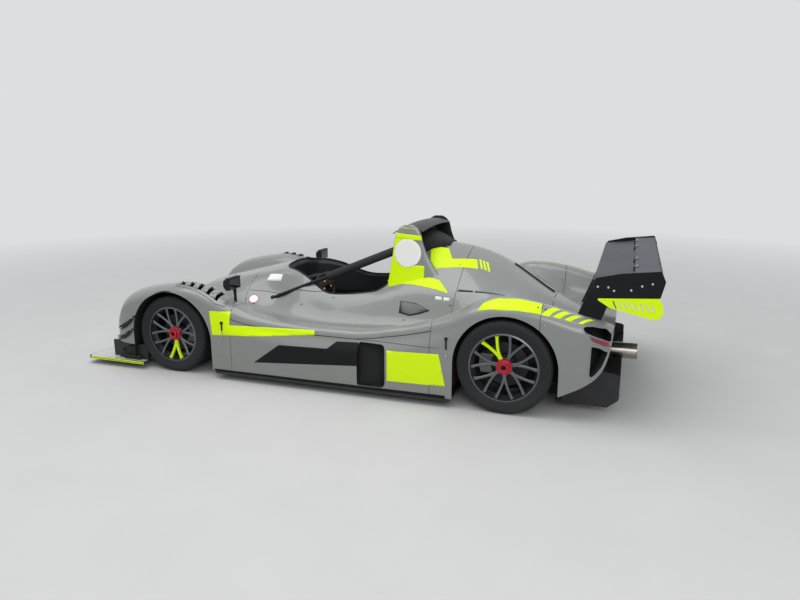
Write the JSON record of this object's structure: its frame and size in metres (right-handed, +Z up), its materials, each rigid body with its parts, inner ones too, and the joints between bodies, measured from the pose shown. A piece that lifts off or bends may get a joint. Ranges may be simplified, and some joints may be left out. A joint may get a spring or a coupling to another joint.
{
  "type": "sports prototype race car",
  "caption": "Open-cockpit closed-wheel race car with front splitter, roll hoop fairings, engine cover and rear wing; the wheels roll and the front ones steer.",
  "frame": {"origin": "middle of the car's box, on the ground", "axes": "+X to the nose, +Y to the car's left, +Z up"},
  "size_m": [4.1818, 1.796, 1.1197],
  "materials": {
    "body_paint": "gloss grey paint with bright lime graphics",
    "carbon_black": "black lacquered composite",
    "tyre_rubber": "slick race tyre",
    "rim_metal": "satin dark grey forged wheel, red centre nut, one lime spoke",
    "disc_iron": "machined brake disc",
    "upright_alloy": "machined alloy",
    "black_steel": "satin black",
    "pad_black": "black foam sleeve",
    "seat_fabric": "black seat cover",
    "cast_alloy": "cast alloy",
    "exhaust_steel": "brushed stainless",
    "lamp_red": "red lamp lens"
  },
  "bodies": {
    "chassis": {"air_intake": "carbon_black", "cockpit_surround": "body_paint", "dash": "carbon_black", "diffuser": "carbon_black", "dive_planes": "carbon_black", "engine": "cast_alloy", "engine_cover": "body_paint", "exhaust": "exhaust_steel", "front_braces": "pad_black", "front_clamshell": "body_paint", "front_frame": "black_steel", "gearbox": "cast_alloy", "hoop_fairings": "body_paint", "mirrors": "carbon_black", "rear_clamshell": "body_paint", "roll_hoop": "black_steel", "seat": "seat_fabric", "sidepods": "body_paint", "splitter": "carbon_black", "suspension_front": "black_steel", "suspension_rear": "black_steel", "tail_lamps": "lamp_red", "tow_eyes": "black_steel", "tub": "carbon_black", "undertray": "carbon_black", "uprights_rear": "upright_alloy", "wing_endplates": "carbon_black", "wing_planes": "carbon_black", "wing_pylons": "carbon_black"},
    "wheel_fl": {"hub_fl": "disc_iron", "rim_fl": "rim_metal", "tyre_fl": "tyre_rubber"},
    "wheel_fr": {"hub_fr": "disc_iron", "rim_fr": "rim_metal", "tyre_fr": "tyre_rubber"},
    "wheel_rl": {"hub_rl": "disc_iron", "rim_rl": "rim_metal", "tyre_rl": "tyre_rubber"},
    "wheel_rr": {"hub_rr": "disc_iron", "rim_rr": "rim_metal", "tyre_rr": "tyre_rubber"},
    "knuckle_left": {"upright_fl": "upright_alloy"},
    "knuckle_right": {"upright_fr": "upright_alloy"},
    "steering_rack": {"steering_rack": "black_steel"},
    "steering_wheel": {"steering_wheel": "pad_black"}
  },
  "joints": [
    {"name": "steer_left", "type": "hinge", "parent": "chassis", "child": "knuckle_left", "pos_m": [1.3025, 0.68825, 0.29], "axis": [0, 0, 1], "range_deg": [-15, 15]},
    {"name": "steer_right", "type": "hinge", "parent": "chassis", "child": "knuckle_right", "pos_m": [1.3025, -0.68825, 0.29], "axis": [0, 0, 1], "range_deg": [-15, 15]},
    {"name": "rack_slide", "type": "slide", "parent": "chassis", "child": "steering_rack", "axis": [0, 1, 0], "range_m": [-0.03, 0.03]},
    {"name": "column_turn", "type": "hinge", "parent": "chassis", "child": "steering_wheel", "pos_m": [0.4425, 0, 0.565], "axis": [-0.9726, 0, 0.2326], "range_deg": [-150, 150]},
    {"name": "spin_fl", "type": "hinge", "parent": "knuckle_left", "child": "wheel_fl", "pos_m": [1.3025, 0.746, 0.29], "axis": [0, 1, 0], "continuous": true},
    {"name": "spin_fr", "type": "hinge", "parent": "knuckle_right", "child": "wheel_fr", "pos_m": [1.3025, -0.746, 0.29], "axis": [0, 1, 0], "continuous": true},
    {"name": "spin_rl", "type": "hinge", "parent": "chassis", "child": "wheel_rl", "pos_m": [-1.1975, 0.753, 0.3035], "axis": [0, 1, 0], "continuous": true},
    {"name": "spin_rr", "type": "hinge", "parent": "chassis", "child": "wheel_rr", "pos_m": [-1.1975, -0.753, 0.3035], "axis": [0, 1, 0], "continuous": true}
  ],
  "couplings": [
    {"joint": "steer_right", "follows": "steer_left", "ratio": 1},
    {"joint": "rack_slide", "follows": "steer_left", "m_per_rad": 0.11},
    {"joint": "column_turn", "follows": "steer_left", "ratio": 10}
  ]
}
